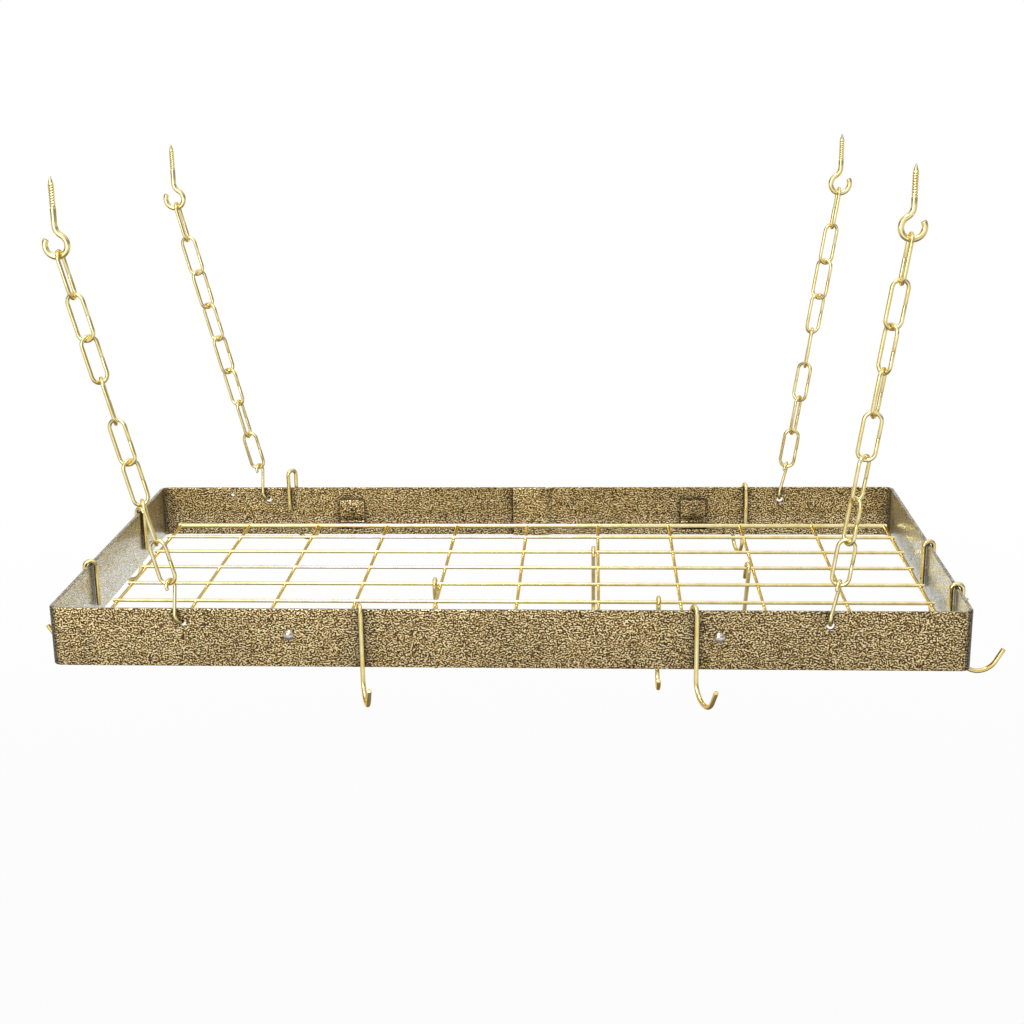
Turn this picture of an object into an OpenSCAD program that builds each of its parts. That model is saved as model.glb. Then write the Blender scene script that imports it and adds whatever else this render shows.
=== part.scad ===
// Hanging pot rack: a flat-bar band on four chains, with a loose wire shelf and twelve pot hooks.
// Millimetres, +Z up, +X along the rack, -Y its front. The origin lies in the ceiling plane,
// midway between the four ceiling hooks.

/* [Band] */
// Length of the band, outside
band_length = 762; // [640:1:860]
// Width of the band, outside
band_width = 381; // [300:1:460]
// Height of the flat bar
band_height = 50.8; // [46:0.1:70]
// Thickness of the flat bar
band_thickness = 3.2; // [2.4:0.1:3.6]
// Outside radius of the bent corners
corner_radius = 9; // [5:0.5:25]
// Length over which the bar's two ends lie on each other
lap_length = 34; // [20:1:60]
// Length of the step that sets one end inside the other
joggle_length = 6.4; // [4:0.1:12]
// Middle of the lap, from the middle of the rear wall
lap_middle = 8.5; // [-60:0.5:60]
// Distance of the chain holes from the band's ends
hole_inset = 114.3; // [90:0.1:130]
// Depth of the chain holes below the band's top edge
hole_drop = 12.7; // [11:0.1:15]
// Diameter of the chain holes
hole_diameter = 6.4; // [6:0.1:7.4]
// Distance of the small spare hole from the band's left end
spare_hole_inset = 76; // [40:1:88]
// Depth of the spare hole below the top edge
spare_hole_drop = 8; // [6:0.5:20]
// Diameter of the spare hole
spare_hole_diameter = 4; // [3:0.1:6]

/* [Brackets and rivets] */
// Width of each angle bracket
bracket_width = 25.4; // [18:0.1:40]
// Height of a bracket's upright leg
bracket_rise = 27; // [20:0.5:30]
// Length of a bracket's level leg, from the wall
bracket_leg = 29; // [27:0.5:45]
// Thickness of the bracket
bracket_thickness = 3.2; // [2:0.1:4]
// Inside radius of the bracket's bend
bracket_bend = 2; // [1:0.25:4]
// Distance of the brackets' middles from the band's ends
bracket_inset = 203.2; // [190:0.1:240]
// Depth of the shelf seats below the band's top edge
seat_drop = 36.2; // [34:0.1:42]
// Depth of the rivets below the band's top edge
rivet_drop = 23; // [20:0.5:26]
// Diameter of the rivet's shank
rivet_diameter = 4.8; // [3:0.1:6]
// Diameter of the rivet's domed head
rivet_head_diameter = 9; // [7:0.1:12]
// Height of the rivet's domed head
rivet_head_height = 2.5; // [1.5:0.1:3.5]
// Diameter of the closed end inside the bracket
rivet_tail_diameter = 8; // [7:0.1:11]
// Height of the closed end
rivet_tail_height = 1.6; // [1:0.1:3]

/* [Wire shelf] */
// Length of the shelf's long wires
shelf_length = 729.2; // [600:0.1:730]
// Width of the shelf over its two edge rods
shelf_width = 345; // [262:0.1:345]
// Diameter of the edge rods
shelf_rod_diameter = 4.8; // [4:0.1:6]
// Diameter of the wires
shelf_wire_diameter = 3.2; // [2:0.1:3.8]
// Bays along the shelf
shelf_bays_long = 10; // [9:1:12]
// Bays across the shelf
shelf_bays_wide = 7; // [6:1:9]
// How far the long wires pass the middle of the last cross wire
shelf_overhang = 2.6; // [2:0.1:8]
// How far crossing wires are welded into each other
weld_sink = 0.5; // [0.2:0.1:1]
// How far the loose shelf lies to the right in the band
shelf_shift_right = 7; // [0:0.5:7]
// How far the loose shelf lies to the front in the band
shelf_shift_front = 9; // [0:0.5:9]

/* [Chains] */
// Links in each chain
link_count = 8; // [4:1:10]
// Length of a link, inside
link_inner_length = 35.2; // [26:0.1:45]
// Width of a link, outside
link_width = 17; // [15:0.1:22]
// Wire of the links
link_wire = 3.2; // [2.5:0.1:3.4]
// Width of the butt joint in a link's side
link_joint_gap = 0.3; // [0.1:0.1:0.8]

/* [S-hooks] */
// Wire of the S-hooks
s_hook_wire = 3; // [2.5:0.1:3.2]
// Bend radius round the band, at the wire's middle
s_hook_lower_radius = 7; // [6.5:0.1:8]
// Bend radius round the link, at the wire's middle
s_hook_upper_radius = 5.5; // [5:0.1:6]
// Distance between the middles of the two bends
s_hook_reach = 25; // [24:0.1:34]
// How far the two ends curl past upright
s_hook_curl = 15; // [0:1:40]
// Turn of the S-hook's plane from square to the wall
s_hook_swivel = 20; // [0:1:22]

/* [Ceiling hooks] */
// Distance between the ceiling hooks along the rack
ceiling_span_long = 660.4; // [600:0.1:720]
// How far the rack hangs to the right of the ceiling hooks' middle
rack_shift = 15; // [0:0.5:20]
// Wire of the ceiling hooks
ceiling_wire = 4.8; // [4:0.1:5]
// Ring radius of the ceiling hooks, at the wire's middle
ceiling_ring_radius = 9; // [9:0.1:12]
// Least length of stem that shows below the ceiling
ceiling_stem = 6; // [2:0.5:40]
// Length of the screw above the ceiling plane, with its point
ceiling_screw = 26; // [15:0.5:50]
// Length of the screw's point
ceiling_point = 5; // [3:0.5:8]
// Diameter of the point's blunt tip
ceiling_tip = 1; // [0.4:0.1:1.5]
// Angle over which the ring runs
ceiling_ring = 270; // [240:5:285]

/* [Pot hooks] */
// Wire of the pot hooks
pot_hook_wire = 4; // [3:0.1:4.2]
// Height of a pot hook over all
pot_hook_height = 82; // [70:0.5:110]
// Top bend radius, at the wire's middle
pot_hook_top_radius = 5; // [5:0.1:5.6]
// Lower bend radius, at the wire's middle
pot_hook_bend_radius = 16.5; // [12:0.5:20]
// Angle of the tip from upright
pot_hook_flare = 30; // [10:1:50]
// Straight length of the tip
pot_hook_tip = 13; // [6:0.5:20]
// Short leg of the hooks on the band, from the top of the bend
band_leg_length = 44; // [20:0.5:44]
// Short leg of the hooks on the shelf, from the top of the bend
shelf_leg_length = 20; // [14:0.5:30]

/* [Hidden] */
$fn = 64;
// Clear gap between pieces that rest on each other
play = 0.3;
// Gap between two links of one chain
link_play = 0.2;
// Clear gap between a rivet and its holes, across the diameter
rivet_play = 0.1;
// How much a slanted joint in a wire form swells, across the wire
joint_swell = 0.04;
// How far a cut reaches past the face it opens
cut_over = 1;
corners = ["front_left", "front_right", "rear_left", "rear_right"];
BAND_FINISH = [0.36, 0.27, 0.14];
BRASS = [0.86, 0.71, 0.36];

// Turn of each link about its chain, from the lowest link up; neighbours cross at 55 degrees or
// more, and the top link stands square to the ceiling hook's ring.
twists = [
    [-8, 107, 45, -10, 107, 45, -10],
    [-9, -64, 47, -9, 63, -59, 16],
    [-8, 82, -24, 47, -24, 47, -10],
    [-10, 62, -38, 83, 27, -30, 28]
];
top_twist = 90;
function link_twist(corner, k) =
    k == link_count ? top_twist : twists[corner][(k - 1) % len(twists[corner])];

// Places on the band
wall_x = (band_length - band_thickness) / 2;
wall_y = (band_width - band_thickness) / 2;
hole_x = band_length / 2 - hole_inset;
bracket_x = band_length / 2 - bracket_inset;
lap_end = lap_middle - lap_length / 2;
joggle_start = lap_middle + lap_length / 2;
joggle_end = joggle_start + joggle_length;

// A wire form is a list of stretches: [length, 0] runs straight and [radius, turn] bends by an
// angle, to the left where it is positive
function pot_hook_steps(leg_length) = [
    [leg_length - pot_hook_top_radius - pot_hook_wire / 2, 0],
    [pot_hook_top_radius, -180],
    [pot_hook_height - pot_hook_top_radius - pot_hook_bend_radius - pot_hook_wire, 0],
    [pot_hook_bend_radius, 180 - pot_hook_flare],
    [pot_hook_tip, 0]
];
function pot_hook_start(leg_length) =
    [-pot_hook_top_radius, -pot_hook_steps(leg_length)[0][0]];

// Hooks on the band: name, wall, place along the wall as a share of the half wall, turn about the
// upright, and, for the one that is wedged askew, its height off the edge as a share of its leg
band_hooks = [
    ["pot_hook_front_left", "front", -0.309, 16, 0],
    ["pot_hook_front_right", "front", 0.412, 22, 0],
    ["pot_hook_left_front", "left", -0.378, 12, 0],
    ["pot_hook_left_rear", "left", 0.514, -30, 0],
    ["pot_hook_right_front", "right", -0.672, 2, 0],
    ["pot_hook_right_rear", "right", -0.042, 18, 0],
    ["pot_hook_rear_left", "rear", -0.632, -41, 0.34],
    ["pot_hook_rear_right", "rear", 0.606, 12, 0]
];
// Hooks on the shelf: name, its long wire, the cross wire to its right, the clear gap between the
// two as a share of a bay, and turn about the upright
shelf_hooks = [
    ["shelf_hook_outer_left", 4, 4, 0.019, 0],
    ["shelf_hook_inner_left", 2, 6, 0.012, 0],
    ["shelf_hook_inner_right", 5, 7, 0.22, 0],
    ["shelf_hook_outer_right", 3, 8, 0.026, 10]
];

// S-hook: its straight middle lies on a tangent of both bends
s_hook_slant = asin((s_hook_upper_radius + s_hook_lower_radius) / s_hook_reach);
s_hook_middle = s_hook_reach * cos(s_hook_slant);
s_hook_turned = 180 + s_hook_slant + s_hook_curl;

// Along one chain, from the middle of the wire in the chain hole
link_bend = (link_width - link_wire) / 2;
link_side = link_inner_length + link_wire - 2 * link_bend;
link_pitch = link_inner_length - link_play;
link_steps = [
    [(link_side - link_joint_gap) / 2, 0],
    [link_bend, 180],
    [link_side, 0],
    [link_bend, 180],
    [(link_side - link_joint_gap) / 2, 0]
];
s_hook_top = s_hook_lower_radius + s_hook_reach + s_hook_upper_radius;
first_link = s_hook_top - (s_hook_wire + link_wire) / 2 - link_play;
top_contact = first_link + (link_count - 1) * link_pitch + link_inner_length
    + (link_wire - ceiling_wire) / 2 - play;
chain_run = top_contact + ceiling_ring_radius;

// Heights, from the ceiling plane down
// The neck leans by the angle that brings the ring's middle under the stem
neck_turn = 60;
neck_rise = 2 * ceiling_ring_radius * sin(neck_turn);
chain_seat_z = -ceiling_stem - neck_rise - max(chain_drop(-1), chain_drop(1));
hole_top_z = chain_seat_z + s_hook_lower_radius
    - bend_depth(s_hook_lower_radius, s_hook_wire, s_hook_swivel);
hole_z = hole_top_z - hole_diameter / 2;
band_top = hole_z + hole_drop;
band_bottom = band_top - band_height;
seat_top = band_top - seat_drop;
rivet_z = band_top - rivet_drop;
shelf_z = seat_top + play + shelf_rod_diameter / 2;
shelf_wire_z = shelf_z + shelf_wire_diameter - weld_sink;

// Shelf spacings
shelf_bay_long = (shelf_length - 2 * shelf_overhang) / shelf_bays_long;
shelf_bay_wide = (shelf_width - shelf_rod_diameter) / shelf_bays_wide;
shelf_rear_y = (shelf_width - shelf_rod_diameter) / 2;
function cross_wire_x(k) = shelf_overhang - shelf_length / 2 + k * shelf_bay_long;
function long_wire_y(k) = shelf_rear_y - k * shelf_bay_wide;
function beside_cross_wire(k, gap_share) =
    cross_wire_x(k) - (shelf_wire_diameter + pot_hook_wire) / 2 - gap_share * shelf_bay_long;

// The rack's side of a corner: -1 is left, 1 is right; -1 is front, 1 is rear
function side_x(corner) = corner % 2 == 0 ? -1 : 1;
function side_y(corner) = corner < 2 ? -1 : 1;

// Lean of the chains on one side, outwards from upright, and how far they reach down
function chain_lean(side) = asin((ceiling_span_long / 2 - hole_x - side * rack_shift) / chain_run);
function chain_drop(side) = chain_run * cos(chain_lean(side));

// Middle of the wire in a corner's chain hole, and of the ring above it
function seat_point(corner) =
    [rack_shift + side_x(corner) * hole_x, side_y(corner) * wall_y, chain_seat_z];
function ring_point(corner) = [
    side_x(corner) * ceiling_span_long / 2,
    side_y(corner) * wall_y,
    chain_seat_z + chain_drop(side_x(corner))
];

// Middle of the flat bar's thickness at a share of the half wall, and the wall's outward direction
function wall_point(wall, share) =
    wall == "front" ? [share * band_length / 2, -wall_y] :
    wall == "rear" ? [share * band_length / 2, wall_y] :
    wall == "left" ? [-wall_x, share * band_width / 2] : [wall_x, share * band_width / 2];
function wall_out(wall) = wall == "front" ? -90 : wall == "rear" ? 90 : wall == "left" ? 180 : 0;

// Distance of a wire bend's middle from the edge of the flat bar that it hooks round, when the bend
// is turned from square to the bar
function bend_depth(radius, wire, turn) =
    sqrt(pow(radius - wire / 2 - play, 2) - pow(band_thickness / 2 / cos(turn), 2));

// Moment of a wire form about the origin: the length of each stretch times its centre
function left_of(heading) = [-sin(heading), cos(heading)];
function stretch_length(step) = step[1] == 0 ? step[0] : step[0] * abs(step[1]) * PI / 180;
function bend_centre(step, from, heading) = from + sign(step[1]) * step[0] * left_of(heading);
function stretch_end(step, from, heading) =
    step[1] == 0 ? from + step[0] * [cos(heading), sin(heading)] :
    bend_centre(step, from, heading) - sign(step[1]) * step[0] * left_of(heading + step[1]);
function stretch_centre(step, from, heading) =
    step[1] == 0 ? from + step[0] / 2 * [cos(heading), sin(heading)] :
    bend_centre(step, from, heading) - sign(step[1]) * left_of(heading + step[1] / 2)
        * step[0] * sin(abs(step[1]) / 2) / (abs(step[1]) * PI / 360);
function wire_moment(steps, from, heading = 90, i = 0) =
    i == len(steps) ? [0, 0] :
    stretch_length(steps[i]) * stretch_centre(steps[i], from, heading)
        + wire_moment(steps, stretch_end(steps[i], from, heading), heading + steps[i][1], i + 1);

// Angle by which a shelf hook swings back until it hangs at rest
hang_moment = wire_moment(pot_hook_steps(shelf_leg_length), pot_hook_start(shelf_leg_length));
hang_angle = atan2(hang_moment.x, -hang_moment.y);

link_nodes = [for (corner = corners) for (k = [1:link_count]) str("link_", corner, "_", k)];

// A wire form is drawn flat, in X and Y, and stood up in X and Z
module upright() {
    rotate([90, 0, 0]) children();
}

// Draws a wire form from the origin, starting up along Y
module wire_form(steps, wire, i = 0) {
    if (i < len(steps)) {
        size = steps[i][0];
        turn = steps[i][1];
        if (turn == 0) {
            rotate([-90, 0, 0]) cylinder(d = wire, h = size);
            translate([0, size, 0]) wire_form(steps, wire, i + 1);
        } else {
            translate([-sign(turn) * size, 0, 0]) {
                mirror([turn < 0 ? 1 : 0, 0, 0])
                    rotate_extrude(angle = abs(turn)) translate([size, 0]) circle(d = wire);
                rotate([0, 0, turn]) translate([sign(turn) * size, 0, 0]) {
                    if (i + 1 < len(steps) && abs(turn) != 180) sphere(d = wire + joint_swell);
                    wire_form(steps, wire, i + 1);
                }
            }
        }
    }
}

// What moves with the rack, from the middle of the band
module in_rack() {
    translate([rack_shift, 0, 0]) children();
}

// What moves with the loose shelf
module in_shelf() {
    in_rack() translate([shelf_shift_right, -shelf_shift_front, 0]) children();
}

// A hole through a front or rear wall or a bracket's upright leg, along Y
module wall_hole(x, y, z, diameter) {
    depth = 2 * (max(band_thickness, bracket_thickness) + cut_over);
    translate([x, y, z]) rotate([90, 0, 0]) cylinder(d = diameter, h = depth, center = true);
}

module rounded_plan(length, width, radius) {
    square([length - 2 * radius, width], center = true);
    square([length, width - 2 * radius], center = true);
    for (x = [-1, 1], y = [-1, 1])
        translate([x * (length / 2 - radius), y * (width / 2 - radius)]) circle(r = radius);
}

// The bar in plan: bent to a rectangle and open at the lap
module band_plan() {
    difference() {
        rounded_plan(band_length, band_width, corner_radius);
        rounded_plan(band_length - 2 * band_thickness, band_width - 2 * band_thickness,
            corner_radius - band_thickness);
        translate([joggle_start, band_width / 2 - band_thickness - cut_over])
            square([joggle_length, band_thickness + 2 * cut_over]);
    }
}

// The bar's right end in plan, stepped in and laid inside its left end
module lap_plan() {
    outer = band_width / 2;
    middle = outer - band_thickness;
    inner = middle - band_thickness;
    polygon([
        [joggle_end, outer], [joggle_end, middle], [joggle_start, inner], [lap_end, inner],
        [lap_end, middle], [joggle_start, middle]
    ]);
}

module band() {
    color(BAND_FINISH) in_rack() difference() {
        translate([0, 0, band_bottom]) {
            linear_extrude(height = band_height) band_plan();
            linear_extrude(height = band_height) lap_plan();
        }
        for (x = [-1, 1], y = [-1, 1]) {
            wall_hole(x * hole_x, y * wall_y, hole_z, hole_diameter);
            wall_hole(x * bracket_x, y * wall_y, rivet_z, rivet_diameter + rivet_play);
        }
        wall_hole(spare_hole_inset - band_length / 2, wall_y, band_top - spare_hole_drop,
            spare_hole_diameter);
    }
}

// Section of an angle: X runs inwards from the wall and Y up, from the outside of the bend
module bracket_section() {
    outside = bracket_thickness + bracket_bend;
    translate([outside, 0]) square([bracket_leg - outside, bracket_thickness]);
    translate([0, outside]) square([bracket_thickness, bracket_rise - outside]);
    intersection() {
        translate([outside, outside]) difference() {
            circle(r = outside);
            circle(r = bracket_bend);
        }
        square(outside);
    }
}

module at_bracket(corner) {
    in_rack() rotate([0, 0, side_y(corner) == 1 ? 0 : 180])
        translate([side_x(corner) * side_y(corner) * bracket_x, 0, 0]) children();
}

module angle_bracket(corner) {
    from_wall = band_width / 2 - band_thickness;
    color(BAND_FINISH) at_bracket(corner) difference() {
        translate([0, from_wall, seat_top - bracket_thickness])
            mirror([0, 1, 0]) rotate([90, 0, 90])
                linear_extrude(height = bracket_width, center = true) bracket_section();
        wall_hole(0, from_wall, rivet_z, rivet_diameter + rivet_play);
    }
}

// A rivet through the rear wall, its domed head outside
module rivet() {
    ball = (pow(rivet_head_diameter / 2, 2) + pow(rivet_head_height, 2)) / (2 * rivet_head_height);
    grip = band_thickness + bracket_thickness;
    translate([0, band_width / 2, rivet_z]) rotate([-90, 0, 0]) {
        translate([0, 0, -grip]) cylinder(d = rivet_diameter, h = grip);
        translate([0, 0, -grip - rivet_tail_height])
            cylinder(d = rivet_tail_diameter, h = rivet_tail_height);
        intersection() {
            translate([0, 0, rivet_head_height - ball]) sphere(r = ball);
            cylinder(d = 2 * rivet_head_diameter, h = rivet_head_height + cut_over);
        }
    }
}

module bracket_rivets() {
    color(BAND_FINISH) for (i = [0:3]) at_bracket(i) rivet();
}

module wire_along_x(y, z, diameter) {
    translate([0, y, z])
        rotate([0, 90, 0]) cylinder(d = diameter, h = shelf_length, center = true);
}

// Edge rods, cross wires let into them, and long wires laid across and welded
module wire_shelf() {
    color(BRASS) in_shelf() {
        for (y = [-1, 1]) wire_along_x(y * shelf_rear_y, shelf_z, shelf_rod_diameter);
        for (k = [1:shelf_bays_wide - 1])
            wire_along_x(long_wire_y(k), shelf_wire_z, shelf_wire_diameter);
        for (k = [0:shelf_bays_long])
            translate([cross_wire_x(k), 0, shelf_z]) rotate([90, 0, 0])
                cylinder(d = shelf_wire_diameter, h = 2 * shelf_rear_y, center = true);
    }
}

// A screw hook: point, stem, neck and open ring, with the mouth away from the rack
module ceiling_hook(corner) {
    ring = ring_point(corner);
    screw_top = ceiling_screw - ceiling_point;
    color(BRASS) translate([ring.x, ring.y, screw_top]) {
        cylinder(d1 = ceiling_wire, d2 = ceiling_tip, h = ceiling_point);
        mirror([side_x(corner) == 1 ? 1 : 0, 0, 0])
            upright() rotate([0, 0, 180])
                wire_form([
                    [screw_top - ring.z - neck_rise, 0],
                    [ceiling_ring_radius, neck_turn],
                    [ceiling_ring_radius, -ceiling_ring]
                ], ceiling_wire);
    }
}

// The line of one chain: Z runs up it from the wire in the chain hole
module in_chain(corner) {
    side = side_x(corner);
    translate(seat_point(corner)) rotate([0, side * chain_lean(side), 0]) children();
}

// A link is bent from the butt joint in its right side, and stands on its lower bend
module chain_link(corner, k) {
    color(BRASS) in_chain(corner)
        translate([0, 0, first_link + (k - 1) * link_pitch])
            rotate([0, 0, link_twist(corner, k)])
                upright() translate([link_bend, link_bend + (link_side + link_joint_gap) / 2])
                    wire_form(link_steps, link_wire);
}

// The straight middle stands before the wall; one end hooks through the wall to its far side and
// the other over the lowest link
module s_hook(corner) {
    color(BRASS) in_chain(corner)
        translate([0, 0, s_hook_lower_radius])
            rotate([0, 0, 90 - s_hook_swivel])
                upright() rotate([0, 0, -s_hook_slant]) translate([-s_hook_lower_radius, 0]) {
                    wire_form([[s_hook_middle, 0], [s_hook_upper_radius, s_hook_turned]],
                        s_hook_wire);
                    rotate([0, 0, 180])
                        wire_form([[s_hook_lower_radius, s_hook_turned]], s_hook_wire);
                }
}

// Short leg, top bend, shank, lower bend and flared tip, from the middle of the top bend
module pot_hook(leg_length) {
    upright() translate(pot_hook_start(leg_length))
        wire_form(pot_hook_steps(leg_length), pot_hook_wire);
}

// A hook over the band, its short leg inside
module band_hook(hook) {
    place = wall_point(hook[1], hook[2]);
    depth = bend_depth(pot_hook_top_radius, pot_hook_wire, hook[3]);
    lift = hook[4] * band_leg_length;
    color(BRASS) in_rack() translate([place.x, place.y, band_top - depth + lift])
        rotate([0, 0, wall_out(hook[1]) + hook[3]]) pot_hook(band_leg_length);
}

// A hook over one long wire of the shelf, swung back to its balance
module shelf_hook(hook) {
    x = beside_cross_wire(hook[2], hook[3]);
    wire_top = shelf_wire_z + shelf_wire_diameter / 2;
    inside_bend = pot_hook_top_radius - pot_hook_wire / 2;
    color(BRASS) in_shelf()
        translate([x, long_wire_y(hook[1]), wire_top + play - inside_bend])
            rotate([0, 0, hook[4] - 90]) rotate([0, hang_angle, 0])
                pot_hook(shelf_leg_length);
}

band();
bracket_rivets();
wire_shelf();
for (i = [0:3]) angle_bracket(i);
for (i = [0:3]) ceiling_hook(i);
for (i = [0:3], k = [1:link_count])
    chain_link(i, k);
for (i = [0:3]) s_hook(i);
for (hook = band_hooks) band_hook(hook);
for (hook = shelf_hooks) shelf_hook(hook);
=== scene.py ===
# Hanging pot rack: a flat steel bar bent to a band under a hammertone coat, with a loose brass wire
# shelf on four angle brackets, four brass chains with S-hooks and ceiling hooks, and brass pot hooks.
# Metres, +Z up, +X along the rack, -Y its front. The origin lies in the ceiling plane.
import math

import bpy
from mathutils import Matrix, Vector


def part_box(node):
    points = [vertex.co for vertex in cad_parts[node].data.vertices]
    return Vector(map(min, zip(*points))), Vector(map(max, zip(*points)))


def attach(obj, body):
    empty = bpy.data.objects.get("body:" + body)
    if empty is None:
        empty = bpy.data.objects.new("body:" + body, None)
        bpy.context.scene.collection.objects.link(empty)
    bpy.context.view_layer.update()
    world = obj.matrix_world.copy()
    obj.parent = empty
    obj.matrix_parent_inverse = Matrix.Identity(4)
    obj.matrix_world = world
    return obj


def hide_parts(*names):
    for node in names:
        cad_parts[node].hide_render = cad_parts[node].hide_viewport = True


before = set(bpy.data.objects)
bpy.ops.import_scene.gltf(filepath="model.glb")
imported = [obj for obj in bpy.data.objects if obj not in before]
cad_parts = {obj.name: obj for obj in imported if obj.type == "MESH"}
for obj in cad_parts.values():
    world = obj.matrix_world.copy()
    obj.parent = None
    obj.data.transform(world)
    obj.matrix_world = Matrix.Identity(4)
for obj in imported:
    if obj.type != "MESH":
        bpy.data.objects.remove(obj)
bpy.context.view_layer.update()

MM = 0.001
CORNERS = ("front_left", "front_right", "rear_left", "rear_right")

# The bar
BAR_THICKNESS = 3.2 * MM
BAR_EDGE = 0.7 * MM           # rounding of its long edges
BRACKET_EDGE = 0.5 * MM
CUT_EDGE = 0.4 * MM           # rounding of sawn ends
BAND_BEND = 7.4 * MM          # bend radius at the middle of the bar
LAP_END = -8.5 * MM           # along the rear wall, from its middle
LAP_START = 25.5 * MM
JOGGLE_END = 31.9 * MM
JOGGLE_BEND = 2.4 * MM
JOGGLE_TURN = 30
HOLE_INSET = 114.3 * MM
HOLE_DROP = 12.7 * MM
HOLE_WIDTH = 6.4 * MM
SPARE_HOLE_INSET = 76 * MM
SPARE_HOLE_DROP = 8 * MM
SPARE_HOLE_WIDTH = 4 * MM

# Brackets and rivets
BRACKET_BEND = 3.6 * MM       # at the middle of the bracket's thickness
RIVET_DROP = 23 * MM
RIVET_HEAD_WIDTH = 9 * MM
RIVET_HEAD_HEIGHT = 2.5 * MM
RIVET_TAIL_WIDTH = 8 * MM
RIVET_TAIL_HEIGHT = 1.6 * MM
RIVET_BORE = 3 * MM
RIVET_ROLL = 0.5 * MM         # rounding of the tail's rolled edge

# Wire shelf
ROD_WIDTH = 4.8 * MM
WIRE_WIDTH = 3.2 * MM
SNIPPED_EDGE = 0.3 * MM       # rounding of snipped wire ends
BEAD_WIDTH = 3.68 * MM        # a weld bead, between two wires
BEAD_HEIGHT = 1.984 * MM
BEAD_DEPTH = 2.016 * MM       # of the end beads, in from the rod's middle
BAYS_LONG = 10
BAYS_WIDE = 7
OVERHANG = 2.6 * MM

# Chains and their hooks
LINK_WIRE = 3.2 * MM
LINK_BEND = 6.9 * MM
LINK_SIDE = 24.6 * MM
LINK_JOINT = 0.3 * MM         # butt joint in one side
LINK_COUNT = 8
LINK_TWISTS = (
    (-8, 107, 45, -10, 107, 45, -10, 90),
    (-9, -64, 47, -9, 63, -59, 16, 90),
    (-8, 82, -24, 47, -24, 47, -10, 90),
    (-10, 62, -38, 83, 27, -30, 28, 90),
)
S_WIRE = 3 * MM
S_LOWER_BEND = 7 * MM
S_UPPER_BEND = 5.5 * MM
S_REACH = 25 * MM
S_CURL = 15
S_SWIVEL = 20
LINK_EDGE = 0.25 * MM         # rounding of the links' and S-hooks' ends
CEILING_WIRE = 4.8 * MM
CEILING_RING = 9 * MM
CEILING_NECK_TURN = 60
CEILING_RING_TURN = 270
CEILING_POINT = 5 * MM
CEILING_TIP = 0.72 * MM
CEILING_CORE = 3.6 * MM       # under the thread
THREAD_PITCH = 2 * MM
THREAD_FLANK = 0.42           # share of the pitch
THREAD_CREST = 0.16
THREAD_TURNS = 9

# Pot hooks, and how each is turned about the upright
HOOK_WIRE = 4 * MM
HOOK_TOP_BEND = 5 * MM
HOOK_SHANK = 56.5 * MM
HOOK_BEND = 16.5 * MM
HOOK_FLARE = 30
HOOK_TIP = 13 * MM
BAND_LEG = 37 * MM            # straight part of the short leg over the band
SHELF_LEG = 13 * MM           # and over a shelf wire
HANG_ANGLE = 15.843
HOOK_TURNS = {
    "pot_hook_front_left": -90 + 16,
    "pot_hook_front_right": -90 + 22,
    "pot_hook_left_front": 180 + 12,
    "pot_hook_left_rear": 180 - 30,
    "pot_hook_right_front": 2,
    "pot_hook_right_rear": 18,
    "pot_hook_rear_left": 90 - 41,
    "pot_hook_rear_right": 90 + 12,
    "shelf_hook_outer_left": -90,
    "shelf_hook_inner_left": -90,
    "shelf_hook_inner_right": -90,
    "shelf_hook_outer_right": -90 + 10,
}

# Places read from the frame
band_low, band_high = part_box("band")
rack_x = (band_low.x + band_high.x) / 2
band_top = band_high.z
band_middle_z = (band_low.z + band_high.z) / 2
wall_x = (band_high.x - band_low.x - BAR_THICKNESS) / 2
wall_y = (band_high.y - band_low.y - BAR_THICKNESS) / 2


def side_x(corner):
    return 1 if corner.endswith("right") else -1


def side_y(corner):
    return 1 if corner.startswith("rear") else -1


# ---------------------------------------------------------------- drawing out bars and wires
def start_mesh(adder, **settings):
    bpy.ops.object.select_all(action="DESELECT")
    adder(**settings)
    bpy.ops.object.mode_set(mode="EDIT")
    bpy.ops.mesh.select_all(action="SELECT")
    return bpy.context.object


def finish_mesh(piece, name, smooth=35):
    bpy.ops.object.mode_set(mode="EDIT")
    bpy.ops.mesh.select_all(action="SELECT")
    bpy.ops.mesh.remove_doubles(threshold=1e-7)
    bpy.ops.mesh.normals_make_consistent(inside=False)
    bpy.ops.object.mode_set(mode="OBJECT")
    bpy.ops.object.transform_apply(location=True, rotation=True, scale=True)
    bpy.ops.object.shade_smooth_by_angle(angle=math.radians(smooth))
    piece.name = name
    piece.data.name = name
    return piece


def select_faces(piece, wanted):
    """Selects the faces for which wanted(face) holds; edit mode stays on."""
    bpy.ops.mesh.select_all(action="DESELECT")
    bpy.ops.object.mode_set(mode="OBJECT")
    for face in piece.data.polygons:
        face.select = wanted(face)
    bpy.ops.object.mode_set(mode="EDIT")


def round_section(width, sides=20):
    """A flat disc at the origin, facing along Z."""
    return start_mesh(bpy.ops.mesh.primitive_circle_add, vertices=sides, radius=width / 2,
                      fill_type="NGON")


def flat_section(thickness, width, edge):
    """A flat bar's section at the origin: its thickness along X and its width along Y."""
    section = start_mesh(bpy.ops.mesh.primitive_plane_add, size=1)
    bpy.ops.transform.resize(value=(thickness, width, 1))
    bpy.ops.mesh.bevel(affect="VERTICES", offset=edge, segments=4)
    return section


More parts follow.
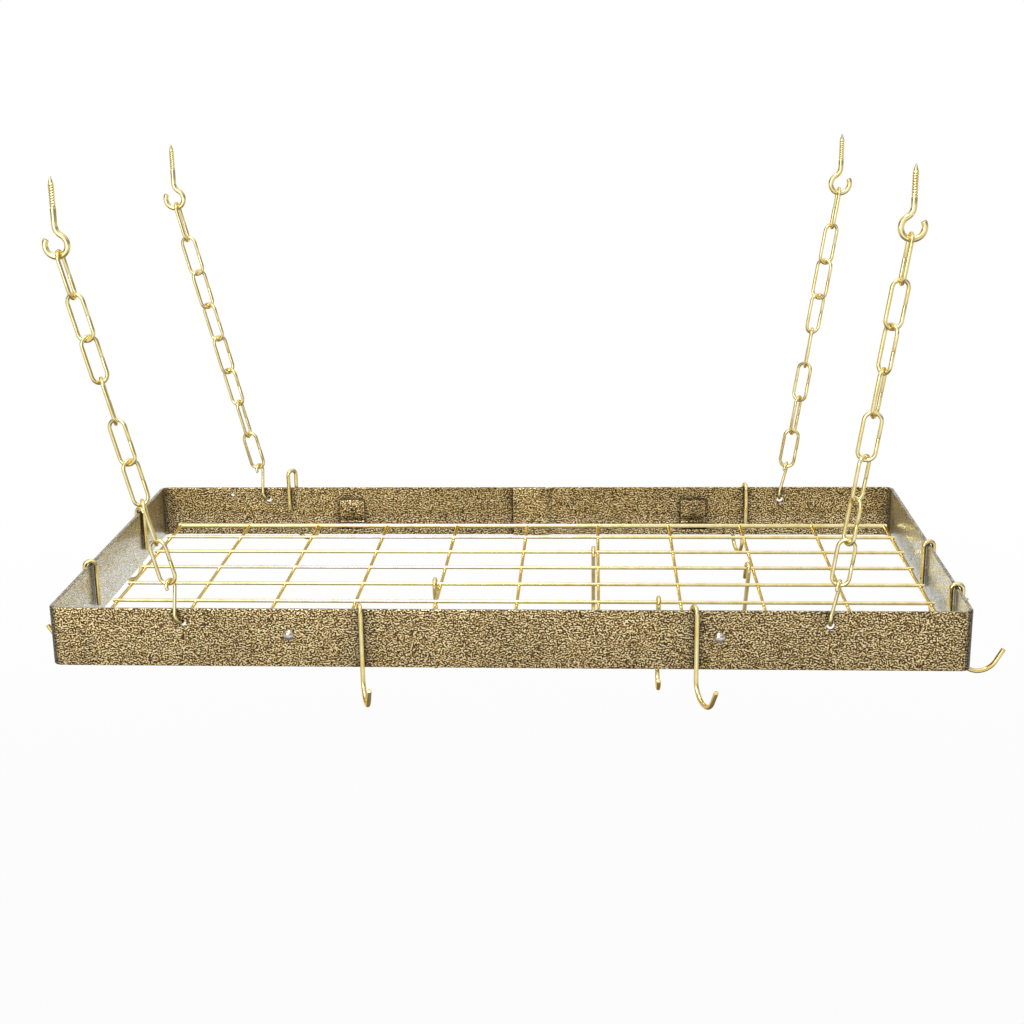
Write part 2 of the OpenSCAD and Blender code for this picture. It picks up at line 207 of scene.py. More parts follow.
def draw_out(section, name, steps, cut_edge, degrees=8):
    """Draws the selected section out from the origin, along Z at first, in the XZ plane.

    A step [length, 0] runs straight and [radius, turn] bends, to the left (-X) where turn is
    positive. Both cut ends get a small worn edge."""
    place = Vector((0, 0, 0))
    heading = 0.0
    for size, turn in steps:
        if turn == 0:
            along = Vector((-math.sin(heading), 0, math.cos(heading))) * size
            bpy.ops.mesh.extrude_region_move(TRANSFORM_OT_translate={"value": along})
            place = place + along
        else:
            side = math.copysign(1, turn)
            inwards = Vector((-math.cos(heading), 0, -math.sin(heading))) * side
            centre = place + inwards * size
            count = max(2, round(abs(turn) / degrees))
            bpy.ops.mesh.spin(steps=count, angle=math.radians(abs(turn)), center=centre,
                              axis=(0, side, 0))
            heading += math.radians(turn)
            inwards = Vector((-math.cos(heading), 0, -math.sin(heading))) * side
            place = centre - inwards * size
    select_faces(section, lambda face: len(face.vertices) > 4)
    bpy.ops.mesh.region_to_loop()
    bpy.ops.mesh.bevel(affect="EDGES", offset=cut_edge, segments=2)
    return finish_mesh(section, name)


def cut_round_hole(piece, place, width, along="Y"):
    """Bores a round hole, with a boolean that is applied at once."""
    turn = (math.pi / 2, 0, 0) if along == "Y" else (0, 0, 0)
    bpy.ops.object.select_all(action="DESELECT")
    bpy.ops.mesh.primitive_cylinder_add(vertices=40, radius=width / 2, depth=6 * BAR_THICKNESS,
                                        location=place, rotation=turn)
    drill = bpy.context.object
    bpy.ops.object.select_all(action="DESELECT")
    bpy.context.view_layer.objects.active = piece
    piece.select_set(True)
    bore = piece.modifiers.new("bore", "BOOLEAN")
    bore.operation = "DIFFERENCE"
    bore.object = drill
    bpy.ops.object.modifier_apply(modifier=bore.name)
    bpy.data.objects.remove(drill)


def copy_of(pattern, name, place):
    """A copy with its own mesh, moved by the matrix place."""
    copy = pattern.copy()
    copy.data = pattern.data.copy()
    copy.name = name
    copy.data.name = name
    bpy.context.collection.objects.link(copy)
    copy.data.transform(place)
    return copy


def join_all(pieces, name):
    bpy.ops.object.select_all(action="DESELECT")
    for piece in pieces:
        piece.select_set(True)
    bpy.context.view_layer.objects.active = pieces[0]
    bpy.ops.object.join()
    joined = bpy.context.object
    joined.name = name
    joined.data.name = name
    return joined


def settle(piece, node):
    """Moves a piece's mesh so that its box has the same middle as the node's box."""
    low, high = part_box(node)
    corners = [Vector(corner.co) for corner in piece.data.vertices]
    own_low = Vector([min(c[axis] for c in corners) for axis in range(3)])
    own_high = Vector([max(c[axis] for c in corners) for axis in range(3)])
    piece.data.transform(Matrix.Translation((low + high - own_low - own_high) / 2))


def dress(piece, node, body, slot, *finishes):
    """Lets a piece stand for a CAD node, and gives it its body and finishes. The slot is not used."""
    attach(piece, body)
    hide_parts(node)
    for finish in finishes:
        piece.data.materials.append(finish)


def turned(axis, degrees):
    return Matrix.Rotation(math.radians(degrees), 4, axis)


def moved(x, y, z):
    return Matrix.Translation((x, y, z))


# ---------------------------------------------------------------- finishes
def linear(hex_colour):
    """An sRGB hex colour as the linear RGBA that a shader socket takes."""
    values = []
    for start in (0, 2, 4):
        value = int(hex_colour[start:start + 2], 16) / 255
        values.append(value / 12.92 if value <= 0.04045 else ((value + 0.055) / 1.055) ** 2.4)
    return (*values, 1.0)


def new_material(name):
    material = bpy.data.materials.new(name)
    material.use_nodes = True
    return material, material.node_tree, material.node_tree.nodes["Principled BSDF"]


def add_node(tree, kind, settings=None, sockets=None):
    """Adds a node, sets its settings, and sets or links its input sockets."""
    node = tree.nodes.new(kind)
    for name, value in (settings or {}).items():
        setattr(node, name, value)
    for name, value in (sockets or {}).items():
        if isinstance(value, bpy.types.NodeSocket):
            tree.links.new(value, node.inputs[name])
        else:
            node.inputs[name].default_value = value
    return node


def set_ramp(ramp, stops):
    elements = ramp.color_ramp.elements
    while len(elements) < len(stops):
        elements.new(0.5)
    for element, (place, colour) in zip(elements, stops):
        element.position = place
        element.color = colour


def painted_shade_at_bends(tree, place):
    """1 along the flat walls, falling to 0.3 round the band's four upright bends: painted shade that
    darkens the coat's colour there."""
    centred = add_node(tree, "ShaderNodeVectorMath", {"operation": "SUBTRACT"},
                       {0: place, 1: (rack_x, 0, 0)})
    apart = add_node(tree, "ShaderNodeVectorMath", {"operation": "ABSOLUTE"},
                     {0: centred.outputs["Vector"]})
    along = add_node(tree, "ShaderNodeSeparateXYZ", {}, {"Vector": apart.outputs["Vector"]})
    near = []
    for axis, bend_start in (("X", wall_x - BAND_BEND), ("Y", wall_y - BAND_BEND)):
        near.append(add_node(tree, "ShaderNodeMapRange", {"interpolation_type": "SMOOTHSTEP"},
                             {"Value": along.outputs[axis],
                              "From Min": bend_start + 0.25 * BAND_BEND,
                              "From Max": bend_start + 0.7 * BAND_BEND}))
    both = add_node(tree, "ShaderNodeMath", {"operation": "MULTIPLY"},
                    {0: near[0].outputs["Result"], 1: near[1].outputs["Result"]})
    return add_node(tree, "ShaderNodeMapRange", {},
                    {"Value": both.outputs["Value"], "To Min": 1.0, "To Max": 0.3}
                    ).outputs["Result"]


def hammertone_coat():
    """Two-tone vein powder coat: short gold-tan islands between brown veins, about 2 mm from one
    to the next. It looks grainy from the front, and turns silver at a flat angle."""
    vein_pitch = 1.95 * MM
    waves_in_a_patch = 1.3
    material, tree, shader = new_material("hammertone_vein_coat")
    place = add_node(tree, "ShaderNodeTexCoord").outputs["Object"]
    cells = add_node(tree, "ShaderNodeTexGabor", {"gabor_type": "3D"},
                     {"Vector": place, "Scale": 1 / (vein_pitch * waves_in_a_patch),
                      "Frequency": waves_in_a_patch, "Anisotropy": 0.0})
    veins = cells.outputs["Value"]
    tone = add_node(tree, "ShaderNodeValToRGB", {}, {"Fac": veins})
    set_ramp(tone, ((0.36, linear("281A08")), (0.48, linear("664E24")),
                    (0.55, linear("D0AE6E")), (0.64, linear("FFF0BE"))))
    clouds = add_node(tree, "ShaderNodeTexNoise", {},
                      {"Vector": place, "Scale": 1 / (60 * MM), "Detail": 2.0})
    shade = add_node(tree, "ShaderNodeMapRange", {},
                     {"Value": clouds.outputs["Fac"], "From Min": 0.3, "From Max": 0.7,
                      "To Min": 0.9, "To Max": 1.08})
    tint = add_node(tree, "ShaderNodeVectorMath", {"operation": "SCALE"},
                    {0: tone.outputs["Color"], "Scale": shade.outputs["Result"]})
    # Painted shade: ambient occlusion, squared, darkens the colour in corners, crevices and round
    # brackets and hooks
    painted_crevice_shade = add_node(tree, "ShaderNodeAmbientOcclusion", {"samples": 8},
                       {"Distance": 14 * MM})
    depth = add_node(tree, "ShaderNodeMath", {"operation": "POWER"},
                     {0: painted_crevice_shade.outputs["AO"], 1: 2.0})
    # Painted shade: the crevice shade times the bend shade scales the coat's colour and its silver
    # flakes
    dark = add_node(tree, "ShaderNodeMath", {"operation": "MULTIPLY"},
                    {0: depth.outputs["Value"], 1: painted_shade_at_bends(tree, place)})
    colour = add_node(tree, "ShaderNodeVectorMath", {"operation": "SCALE"},
                      {0: tint.outputs["Vector"], "Scale": dark.outputs["Value"]})
    tree.links.new(colour.outputs["Vector"], shader.inputs["Base Color"])
    flake = add_node(tree, "ShaderNodeMapRange", {},
                     {"Value": veins, "From Min": 0.45, "From Max": 0.6,
                      "To Min": 0.3, "To Max": 0.95})
    tree.links.new(flake.outputs["Result"], shader.inputs["Metallic"])
    relief = add_node(tree, "ShaderNodeBump", {},
                      {"Strength": 0.6, "Distance": 0.1 * MM, "Height": veins})
    tree.links.new(relief.outputs["Normal"], shader.inputs["Normal"])
    shader.inputs["Roughness"].default_value = 0.35
    shader.inputs["Specular IOR Level"].default_value = 0.15
    shader.inputs["Coat Weight"].default_value = 0.35
    shader.inputs["Coat Roughness"].default_value = 0.15
    # Aluminium flakes lie flat in the film, so at a flat angle it mirrors like dull silver
    facing = add_node(tree, "ShaderNodeLayerWeight", {}, {"Blend": 0.5})
    flat_view = add_node(tree, "ShaderNodeMapRange", {"interpolation_type": "SMOOTHSTEP"},
                         {"Value": facing.outputs["Facing"], "From Min": 0.45, "From Max": 0.85,
                          "To Min": 0.0, "To Max": 0.9})
    grain = add_node(tree, "ShaderNodeValToRGB", {}, {"Fac": veins})
    set_ramp(grain, ((0.4, linear("C0C2C2")), (0.6, linear("FFFFF6"))))
    patches = add_node(tree, "ShaderNodeTexNoise", {},
                       {"Vector": place, "Scale": 1 / (7 * MM), "Detail": 3.0})
    warmth = add_node(tree, "ShaderNodeValToRGB", {}, {"Fac": patches.outputs["Fac"]})
    set_ramp(warmth, ((0.48, linear("FFFFFF")), (0.66, linear("F2E6B6"))))
    flakes = add_node(tree, "ShaderNodeVectorMath", {"operation": "MULTIPLY"},
                      {0: grain.outputs["Color"], 1: warmth.outputs["Color"]})
    # Painted shade on the silver flakes as well, in crevices and round the bends
    flakes_in_painted_shade = add_node(tree, "ShaderNodeVectorMath", {"operation": "SCALE"},
                      {0: flakes.outputs["Vector"], "Scale": dark.outputs["Value"]})
    silver = add_node(tree, "ShaderNodeBsdfAnisotropic", {},
                      {"Color": flakes_in_painted_shade.outputs["Vector"], "Roughness": 0.3,
                       "Normal": relief.outputs["Normal"]})
    mix = add_node(tree, "ShaderNodeMixShader", {},
                   {0: flat_view.outputs["Result"], 1: shader.outputs["BSDF"],
                    2: silver.outputs["BSDF"]})
    tree.links.new(mix.outputs["Shader"], tree.nodes["Material Output"].inputs["Surface"])
    return material


def rivet_coat():
    """Drawn aluminium under one thin coat: too little paint for veins, so it stays a light,
    smooth grey-tan and catches the light on top."""
    material, tree, shader = new_material("thinly_coated_rivet")
    place = add_node(tree, "ShaderNodeTexCoord").outputs["Object"]
    mottle = add_node(tree, "ShaderNodeTexNoise", {},
                      {"Vector": place, "Scale": 1 / (1.5 * MM), "Detail": 2.0})
    tone = add_node(tree, "ShaderNodeValToRGB", {}, {"Fac": mottle.outputs["Fac"]})
    set_ramp(tone, ((0.35, linear("B4A792")), (0.6, linear("F2ECE2"))))
    tree.links.new(tone.outputs["Color"], shader.inputs["Base Color"])
    relief = add_node(tree, "ShaderNodeBump", {},
                      {"Strength": 0.3, "Distance": 0.05 * MM, "Height": mottle.outputs["Fac"]})
    tree.links.new(relief.outputs["Normal"], shader.inputs["Normal"])
    shader.inputs["Metallic"].default_value = 0.9
    shader.inputs["Roughness"].default_value = 0.22
    shader.inputs["Coat Weight"].default_value = 0.5
    return material


def brass_wire(name, bright, dull, edge):
    """Bright drawn brass under clear lacquer, with faint clouding from handling. The lacquer
    deepens its colour towards the edges of the wire."""
    material, tree, shader = new_material(name)
    place = add_node(tree, "ShaderNodeTexCoord").outputs["Object"]
    clouds = add_node(tree, "ShaderNodeTexNoise", {},
                      {"Vector": place, "Scale": 1 / (9 * MM), "Detail": 3.0})
    tint = add_node(tree, "ShaderNodeValToRGB", {}, {"Fac": clouds.outputs["Fac"]})
    set_ramp(tint, ((0.35, linear(dull)), (0.62, linear(bright))))
    tree.links.new(tint.outputs["Color"], shader.inputs["Base Color"])
    shine = add_node(tree, "ShaderNodeMapRange", {},
                     {"Value": clouds.outputs["Fac"], "From Min": 0.3, "From Max": 0.7,
                      "To Min": 0.23, "To Max": 0.15})
    tree.links.new(shine.outputs["Result"], shader.inputs["Roughness"])
    drawn = add_node(tree, "ShaderNodeTexNoise", {},
                     {"Vector": place, "Scale": 1 / (1.2 * MM), "Detail": 2.0})
    relief = add_node(tree, "ShaderNodeBump", {},
                      {"Strength": 0.1, "Distance": 0.05 * MM, "Height": drawn.outputs["Fac"]})
    tree.links.new(relief.outputs["Normal"], shader.inputs["Normal"])
    shader.inputs["Metallic"].default_value = 1.0
    shader.inputs["Specular Tint"].default_value = linear(edge)
    return material


COAT = hammertone_coat()
RIVET_COAT = rivet_coat()
SHELF_BRASS = brass_wire("lacquered_brass_shelf_wire", "FFF2BC", "F2DE94", "FFEEC4")
CHAIN_BRASS = brass_wire("lacquered_brass_chain_wire", "FFF4BC", "F6E096", "F4CA88")
HOOK_BRASS = brass_wire("lacquered_brass_hook_wire", "FFF0B4", "F4DA88", "F4CA88")


# ---------------------------------------------------------------- the band
def make_band():
    """The bar is drawn out from its left end at the lap, round four corners, and stepped inside."""
    half_length = wall_x - BAND_BEND
    half_width = wall_y - BAND_BEND
    slope = math.radians(JOGGLE_TURN)
    step_rise = 2 * JOGGLE_BEND * (1 - math.cos(slope))
    step_run = (BAR_THICKNESS - step_rise) / math.sin(slope)
    step_length = 2 * JOGGLE_BEND * math.sin(slope) + step_run * math.cos(slope)
    step_middle = (LAP_START + JOGGLE_END) / 2
    quarter = [BAND_BEND, 90]
    steps = [
        [half_length + LAP_START, 0], quarter,
        [2 * half_width, 0], quarter,
        [2 * half_length, 0], quarter,
        [2 * half_width, 0], quarter,
        [half_length - step_middle - step_length / 2, 0],
        [JOGGLE_BEND, JOGGLE_TURN], [step_run, 0], [JOGGLE_BEND, -JOGGLE_TURN],
        [step_middle - step_length / 2 - LAP_END, 0],
    ]
    section = flat_section(BAR_THICKNESS, band_high.z - band_low.z, BAR_EDGE)
    band = draw_out(section, "band_bar", steps, CUT_EDGE, degrees=7.5)
    # From the drawing plane, heading up, to the rear wall, heading left
    band.data.transform(moved(rack_x + LAP_START, wall_y, band_middle_z)
                        @ turned("Z", 90) @ turned("X", -90))
    hole_x = wall_x + BAR_THICKNESS / 2 - HOLE_INSET
    for x_side in (-1, 1):
        for y_side in (-1, 1):
            cut_round_hole(band, (rack_x + x_side * hole_x, y_side * wall_y, band_top - HOLE_DROP),
                           HOLE_WIDTH)
    cut_round_hole(band, (band_low.x + SPARE_HOLE_INSET, wall_y, band_top - SPARE_HOLE_DROP),
                   SPARE_HOLE_WIDTH)
    bpy.ops.object.shade_smooth_by_angle(angle=math.radians(30))
    dress(band, "band", "rack", "band_coat", COAT)


def make_brackets():
    for corner in CORNERS:
        node = "angle_bracket_" + corner
        low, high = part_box(node)
        width = high.x - low.x
        rise = high.z - low.z
        leg = high.y - low.y
        outside = BRACKET_BEND + BAR_THICKNESS / 2
        section = flat_section(BAR_THICKNESS, width, BRACKET_EDGE)
        bracket = draw_out(section, node + "_strip",
                           [[rise - outside, 0], [BRACKET_BEND, 90], [leg - outside, 0]], CUT_EDGE)
        # Drawn upwards and then to -X; it stands upside down against its wall
        facing = 90 if side_y(corner) == 1 else -90
        bracket.data.transform(turned("Z", facing) @ turned("X", 180))
        settle(bracket, node)
        dress(bracket, node, "rack", "band_coat", COAT)


def make_rivets():
    """Blind rivets: a domed head outside the wall, and a rolled tail with its bore inside."""
    ball = (RIVET_HEAD_WIDTH ** 2 / 4 + RIVET_HEAD_HEIGHT ** 2) / (2 * RIVET_HEAD_HEIGHT)
    head = start_mesh(bpy.ops.mesh.primitive_uv_sphere_add, segments=32, ring_count=40,
                      radius=ball, location=(0, 0, RIVET_HEAD_HEIGHT - ball))
    bpy.ops.mesh.bisect(plane_co=(0, 0, 0), plane_no=(0, 0, 1), clear_inner=True, use_fill=True)
    head = finish_mesh(head, "rivet_head")
    tail = start_mesh(bpy.ops.mesh.primitive_cylinder_add, vertices=32,
                      radius=RIVET_TAIL_WIDTH / 2, depth=RIVET_TAIL_HEIGHT,
                      location=(0, 0, -2 * BAR_THICKNESS - RIVET_TAIL_HEIGHT / 2))
    select_faces(tail, lambda face: face.normal.z < -0.9)
    bpy.ops.mesh.inset(thickness=(RIVET_TAIL_WIDTH - RIVET_BORE) / 2)
    bpy.ops.mesh.extrude_region_move(
        TRANSFORM_OT_translate={"value": (0, 0, RIVET_TAIL_HEIGHT * 0.9)})
    tail = finish_mesh(tail, "rivet_tail")
    rounding = tail.modifiers.new("rolled edge", "BEVEL")
    rounding.width = RIVET_ROLL
    rounding.segments = 3
    bpy.ops.object.modifier_apply(modifier=rounding.name)
    pattern = join_all([head, tail], "rivet")
    rivets = []
    for corner in CORNERS:
        low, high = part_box("angle_bracket_" + corner)
        place = moved((low.x + high.x) / 2, side_y(corner) * (wall_y + BAR_THICKNESS / 2),
                      band_top - RIVET_DROP)
        rivets.append(copy_of(pattern, "rivet_" + corner,
                              place @ turned("X", -90 * side_y(corner))))
    bpy.data.objects.remove(pattern)
    rivets = join_all(rivets, "rivets")
    for face in rivets.data.polygons:
        outside = abs(face.center.y) > wall_y + BAR_THICKNESS / 2 - 1e-6
        face.material_index = 0 if outside else 1
    dress(rivets, "bracket_rivets", "rack", "band_coat", RIVET_COAT, COAT)


# ---------------------------------------------------------------- the wire shelf
def make_shelf():
    low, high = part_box("wire_shelf")
    middle = (low + high) / 2
    length = high.x - low.x
    rod_y = (high.y - low.y - ROD_WIDTH) / 2
    rod_z = low.z + ROD_WIDTH / 2
    wire_z = high.z - WIRE_WIDTH / 2
    first_x = low.x + OVERHANG
    bay_long = (length - 2 * OVERHANG) / BAYS_LONG
    bay_wide = 2 * rod_y / BAYS_WIDE
    rod = draw_out(round_section(ROD_WIDTH), "shelf_rod", [[length, 0]], CUT_EDGE)
    wire = draw_out(round_section(WIRE_WIDTH, 16), "shelf_wire", [[length, 0]], SNIPPED_EDGE)
    cross = draw_out(round_section(WIRE_WIDTH, 16), "cross_wire", [[2 * rod_y, 0]],
                     SNIPPED_EDGE)
    bead = start_mesh(bpy.ops.mesh.primitive_uv_sphere_add, segments=12, ring_count=8,
                      radius=WIRE_WIDTH / 2)
    bpy.ops.transform.resize(value=(BEAD_WIDTH / WIRE_WIDTH, BEAD_WIDTH / WIRE_WIDTH,
                                    BEAD_HEIGHT / WIRE_WIDTH))
    bead = finish_mesh(bead, "weld_bead")
    along_x = turned("Y", 90)
    along_y = turned("X", -90)
    pieces = []
    for side in (-1, 1):
        pieces.append(copy_of(rod, "rod", moved(low.x, middle.y + side * rod_y, rod_z) @ along_x))
    for row in range(1, BAYS_WIDE):
        y = middle.y + rod_y - row * bay_wide
        pieces.append(copy_of(wire, "long_wire", moved(low.x, y, wire_z) @ along_x))
    for column in range(BAYS_LONG + 1):
        x = first_x + column * bay_long
        pieces.append(copy_of(cross, "cross", moved(x, middle.y - rod_y, rod_z) @ along_y))
        for row in range(1, BAYS_WIDE):
            y = middle.y + rod_y - row * bay_wide
            pieces.append(copy_of(bead, "weld", moved(x, y, (rod_z + wire_z) / 2)))
        for side in (-1, 1):
            y = middle.y + side * (rod_y - BEAD_DEPTH)
            pieces.append(copy_of(bead, "weld", moved(x, y, rod_z)))
    for pattern in (rod, wire, cross, bead):
        bpy.data.objects.remove(pattern)
    dress(join_all(pieces, "shelf_wires"), "wire_shelf", "shelf", "shelf_brass", SHELF_BRASS)


# ---------------------------------------------------------------- chains, S-hooks, ceiling hooks
def chain_lean(corner):
    """The turn that stands a piece along its chain, from the lowest link to the highest."""
    low_link = sum(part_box("link_%s_1" % corner), Vector()) / 2
    high_link = sum(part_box("link_%s_%d" % (corner, LINK_COUNT)), Vector()) / 2
    rise = high_link - low_link
    return turned("Y", math.degrees(math.atan2(rise.x, rise.z)))


def make_links():
    half_side = (LINK_SIDE - LINK_JOINT) / 2
    steps = [[half_side, 0], [LINK_BEND, 180], [LINK_SIDE, 0], [LINK_BEND, 180], [half_side, 0]]
    pattern = draw_out(round_section(LINK_WIRE, 18), "link", steps, LINK_EDGE)
    for index, corner in enumerate(CORNERS):
        for number in range(1, LINK_COUNT + 1):
            node = "link_%s_%d" % (corner, number)
            twist = LINK_TWISTS[index][number - 1]
            link = copy_of(pattern, node + "_wire", chain_lean(corner) @ turned("Z", twist))
            settle(link, node)
            dress(link, node, "chain_" + corner, "chain_brass", CHAIN_BRASS)
    bpy.data.objects.remove(pattern)


def make_s_hooks():
    """Both bends start from the ends of the straight middle, so each half is drawn from there."""
    slant = math.degrees(math.asin((S_LOWER_BEND + S_UPPER_BEND) / S_REACH))
    middle = S_REACH * math.cos(math.radians(slant))
    turn = 180 + slant + S_CURL
    steps = [[S_LOWER_BEND, -turn], [middle, 0], [S_UPPER_BEND, turn]]
    pattern = draw_out(round_section(S_WIRE, 18), "s_hook", steps, LINK_EDGE)
    # The first bend turned the heading, so the whole is turned back to stand on its slant
    upright = turned("Y", slant) @ turned("Y", -turn)
    for corner in CORNERS:
        node = "s_hook_" + corner
        hook = copy_of(pattern, node + "_wire",
                       chain_lean(corner) @ turned("Z", 90 - S_SWIVEL) @ upright)
        settle(hook, node)
        dress(hook, node, "rack", "chain_brass", CHAIN_BRASS)
    bpy.data.objects.remove(pattern)


def make_thread():
    """One pitch of the ridge, screwed up round the upright axis and closed at both ends."""
    ridge = start_mesh(bpy.ops.mesh.primitive_plane_add, size=1)
    bpy.ops.mesh.merge(type="CENTER")
    bpy.ops.transform.translate(value=(CEILING_CORE / 2, 0, 0))
    depth = (CEILING_WIRE - CEILING_CORE) / 2
    for out, share in ((depth, THREAD_FLANK), (0, THREAD_CREST), (-depth, THREAD_FLANK)):
        bpy.ops.mesh.extrude_region_move(
            TRANSFORM_OT_translate={"value": (out, 0, share * THREAD_PITCH)})
    bpy.ops.object.mode_set(mode="OBJECT")
    winding = ridge.modifiers.new("winding", "SCREW")
    winding.steps = winding.render_steps = 20
    winding.screw_offset = THREAD_PITCH
    winding.iterations = THREAD_TURNS
    bpy.ops.object.modifier_apply(modifier=winding.name)
    bpy.ops.object.mode_set(mode="EDIT")
    bpy.ops.mesh.select_all(action="SELECT")
    bpy.ops.mesh.remove_doubles(threshold=1e-6)
    bpy.ops.mesh.fill_holes(sides=0)
    return finish_mesh(ridge, "thread")


def make_ceiling_hooks():
    thread_length = (THREAD_TURNS + 1) * THREAD_PITCH
    for corner in CORNERS:
        node = "ceiling_hook_" + corner
        low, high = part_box(node)
        ring_middle = low.z + CEILING_WIRE / 2 + CEILING_RING
        neck = 2 * CEILING_RING * math.sin(math.radians(CEILING_NECK_TURN))
        shank = high.z - CEILING_POINT - thread_length - ring_middle - neck
        steps = [[shank, 0], [CEILING_RING, CEILING_NECK_TURN],
                 [CEILING_RING, -CEILING_RING_TURN]]
        hook = draw_out(round_section(CEILING_WIRE, 24), node + "_wire", steps, SNIPPED_EDGE)
        hook.data.transform(turned("Y", 180))
        if side_x(corner) == 1:
            hook.data.transform(turned("Z", 180))
        core = draw_out(round_section(CEILING_CORE, 24), "core", [[thread_length, 0]], 0.1 * MM)
        bpy.ops.object.mode_set(mode="EDIT")
        select_faces(core, lambda face: face.center.z > thread_length - 0.01 * MM)
        bpy.ops.mesh.extrude_region_move(TRANSFORM_OT_translate={"value": (0, 0, CEILING_POINT)})
        narrowing = CEILING_TIP / CEILING_CORE
        bpy.ops.transform.resize(value=(narrowing, narrowing, 1), center_override=(0, 0, 0))
        core = finish_mesh(core, "core")
        hook = join_all([hook, core, make_thread()], node + "_wire")
        settle(hook, node)
        dress(hook, node, "ceiling_hooks", "chain_brass", CHAIN_BRASS)


# ---------------------------------------------------------------- pot hooks
def hook_steps(leg):
    return [[leg, 0], [HOOK_TOP_BEND, -180], [HOOK_SHANK, 0], [HOOK_BEND, 180 - HOOK_FLARE],
            [HOOK_TIP, 0]]


def make_pot_hooks():
    over_band = draw_out(round_section(HOOK_WIRE, 22), "band_hook", hook_steps(BAND_LEG),
                         SNIPPED_EDGE)
    over_wire = draw_out(round_section(HOOK_WIRE, 22), "shelf_hook", hook_steps(SHELF_LEG),
                         SNIPPED_EDGE)
    for node, turn in HOOK_TURNS.items():
        on_shelf = node.startswith("shelf")
        pattern = over_wire if on_shelf else over_band
        place = turned("Z", turn) @ turned("Y", HANG_ANGLE if on_shelf else 0)
        hook = copy_of(pattern, node + "_wire", place)
        settle(hook, node)
        dress(hook, node, node, "hook_brass", HOOK_BRASS)
    bpy.data.objects.remove(over_band)
    bpy.data.objects.remove(over_wire)


make_band()
make_brackets()
make_rivets()
make_shelf()
make_links()
make_s_hooks()
make_ceiling_hooks()
make_pot_hooks()


# ---------------------------------------------------------------- room, light and camera
FLOOR_Z = -1.5
ROOM_LIGHT = 0.62
SIDES = 0.65
# From straight down (0) through the horizon (0.5) to straight up (1)
ROOM_LAYERS = ((0.12, 0.2), (0.27, 1.0), (0.47, 1.0), (0.54, 0.4), (0.66, 0.4), (0.76, 1.0))


def pale_floor():
    """Matt white sweep, seen by the camera as near white with a trace of the rack's shadow. A
    mirror ray passes it, and sees the room's own brightness instead."""
    material, tree, shader = new_material("matt_white_sweep")
    shader.inputs["Base Color"].default_value = linear("F2F2F0")
    shader.inputs["Roughness"].default_value = 0.9
    rays = add_node(tree, "ShaderNodeLightPath")
    glow = add_node(tree, "ShaderNodeEmission")
    clear = add_node(tree, "ShaderNodeBsdfTransparent")
    place = add_node(tree, "ShaderNodeTexCoord").outputs["Object"]
    away = add_node(tree, "ShaderNodeVectorMath", {"operation": "LENGTH"}, {0: place})
    fade = add_node(tree, "ShaderNodeMapRange", {"interpolation_type": "SMOOTHSTEP"},
                    {"Value": away.outputs["Value"], "From Min": 1.5, "From Max": 5.0,
                     "To Min": 0.92, "To Max": 1.0})
    lift = add_node(tree, "ShaderNodeMath", {"operation": "MULTIPLY"},
                    {0: rays.outputs["Is Camera Ray"], 1: fade.outputs["Result"]})
    seen = add_node(tree, "ShaderNodeMixShader", {},
                    {0: lift.outputs["Value"], 1: shader.outputs["BSDF"],
                     2: glow.outputs["Emission"]})
    mirrored = add_node(tree, "ShaderNodeMixShader", {},
                        {0: rays.outputs["Is Glossy Ray"], 1: seen.outputs["Shader"],
                         2: clear.outputs["BSDF"]})
    tree.links.new(mirrored.outputs["Shader"], tree.nodes["Material Output"].inputs["Surface"])
    floor = start_mesh(bpy.ops.mesh.primitive_plane_add, size=40, location=(0, 0, FLOOR_Z))
    bpy.ops.mesh.subdivide(number_cuts=4)
    floor = finish_mesh(floor, "floor")
    floor.data.materials.append(material)


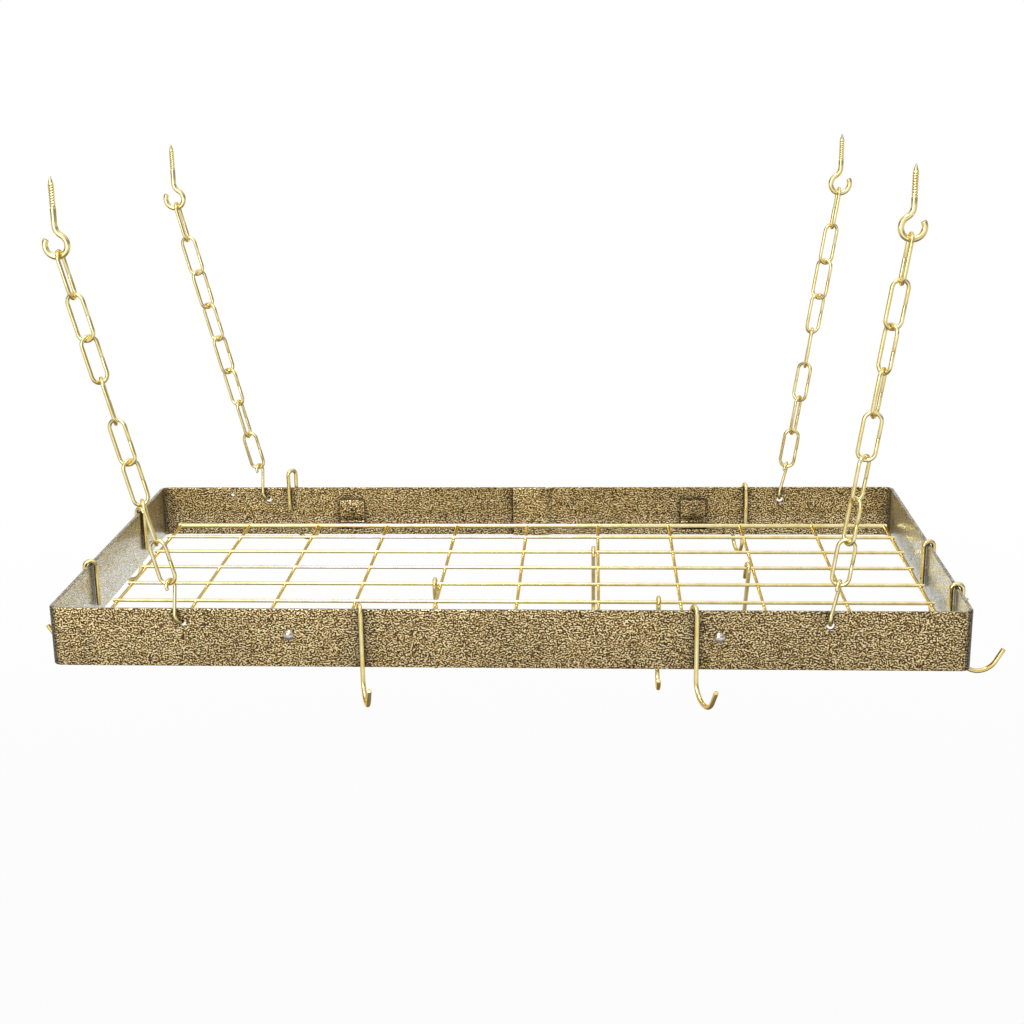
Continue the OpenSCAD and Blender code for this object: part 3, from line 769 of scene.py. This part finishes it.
def white_room():
    """White for the camera. In mirror rays the room has a bright floor and ceiling, with dimmer
    walls to the left and right and a dim band just above the horizon, and is dark straight below.
    These draw the dark edges along the wires and the bar."""
    world = bpy.data.worlds.new("white_room")
    world.use_nodes = True
    tree = world.node_tree
    rays = add_node(tree, "ShaderNodeLightPath")
    way = add_node(tree, "ShaderNodeTexCoord").outputs["Generated"]
    along = add_node(tree, "ShaderNodeSeparateXYZ", {}, {"Vector": way})
    beside = add_node(tree, "ShaderNodeMath", {"operation": "ABSOLUTE"}, {0: along.outputs["X"]})

    def dimming(value, start, end, low, high):
        return add_node(tree, "ShaderNodeMapRange", {"interpolation_type": "SMOOTHSTEP"},
                        {"Value": value, "From Min": start, "From Max": end,
                         "To Min": low, "To Max": high}).outputs["Result"]

    def times(first, second):
        return add_node(tree, "ShaderNodeMath", {"operation": "MULTIPLY"},
                        {0: first, 1: second}).outputs["Value"]

    height = add_node(tree, "ShaderNodeMapRange", {},
                      {"Value": along.outputs["Z"], "From Min": -1.0, "From Max": 1.0})
    layers = add_node(tree, "ShaderNodeValToRGB", {}, {"Fac": height.outputs["Result"]})
    set_ramp(layers, [(place, (level, level, level, 1)) for place, level in ROOM_LAYERS])
    mirrored = times(dimming(beside.outputs["Value"], 0.35, 0.75, 1.0, SIDES),
                     layers.outputs["Color"])
    soft = add_node(tree, "ShaderNodeMix", {"data_type": "FLOAT"},
                    {0: rays.outputs["Is Glossy Ray"], 2: ROOM_LIGHT, 3: mirrored})
    strength = add_node(tree, "ShaderNodeMix", {"data_type": "FLOAT"},
                        {0: rays.outputs["Is Camera Ray"], 2: soft.outputs[0], 3: 1.0})
    tree.nodes["Background"].inputs["Color"].default_value = (1, 1, 1, 1)
    tree.links.new(strength.outputs[0], tree.nodes["Background"].inputs["Strength"])
    bpy.context.scene.world = world


def soft_lamp(name, place, target, size, power):
    lamp = bpy.data.lights.new(name, "AREA")
    lamp.shape = "SQUARE"
    lamp.size = size
    lamp.energy = power
    holder = bpy.data.objects.new(name, lamp)
    holder.location = place
    aim = Vector(target) - Vector(place)
    holder.rotation_euler = aim.to_track_quat("-Z", "Y").to_euler()
    bpy.context.collection.objects.link(holder)


def photo_camera():
    """The photograph's view: slightly from above, with the picture's middle off the lens axis."""
    camera = bpy.data.cameras.new("photo_camera")
    camera.sensor_width = 36
    camera.lens = 57.34
    camera.shift_x = 0.0342
    camera.shift_y = -0.0049
    holder = bpy.data.objects.new("photo_camera", camera)
    pitch, yaw, roll = math.radians(16.05), math.radians(-4.24), math.radians(-1.17)
    ahead = Vector((math.sin(yaw) * math.cos(pitch), math.cos(yaw) * math.cos(pitch),
                    -math.sin(pitch)))
    right = ahead.cross(Vector((0, 0, 1))).normalized()
    up = right.cross(ahead)
    tilted_right = right * math.cos(roll) + up * math.sin(roll)
    tilted_up = up * math.cos(roll) - right * math.sin(roll)
    pose = Matrix((tilted_right, tilted_up, -ahead)).transposed().to_4x4()
    pose.translation = Vector((rack_x + 0.0747, -1.4485, band_low.z + 0.5018))
    holder.matrix_world = pose
    bpy.context.collection.objects.link(holder)
    bpy.context.scene.camera = holder


pale_floor()
white_room()
soft_lamp("top_lamp", (-0.2, -0.6, 1.3), (0, 0, -0.35), 0.5, 8)
soft_lamp("front_lamp", (-0.7, -1.7, 0.3), (0, 0, -0.35), 1.2, 11)
photo_camera()
bpy.context.scene.view_settings.view_transform = "Standard"
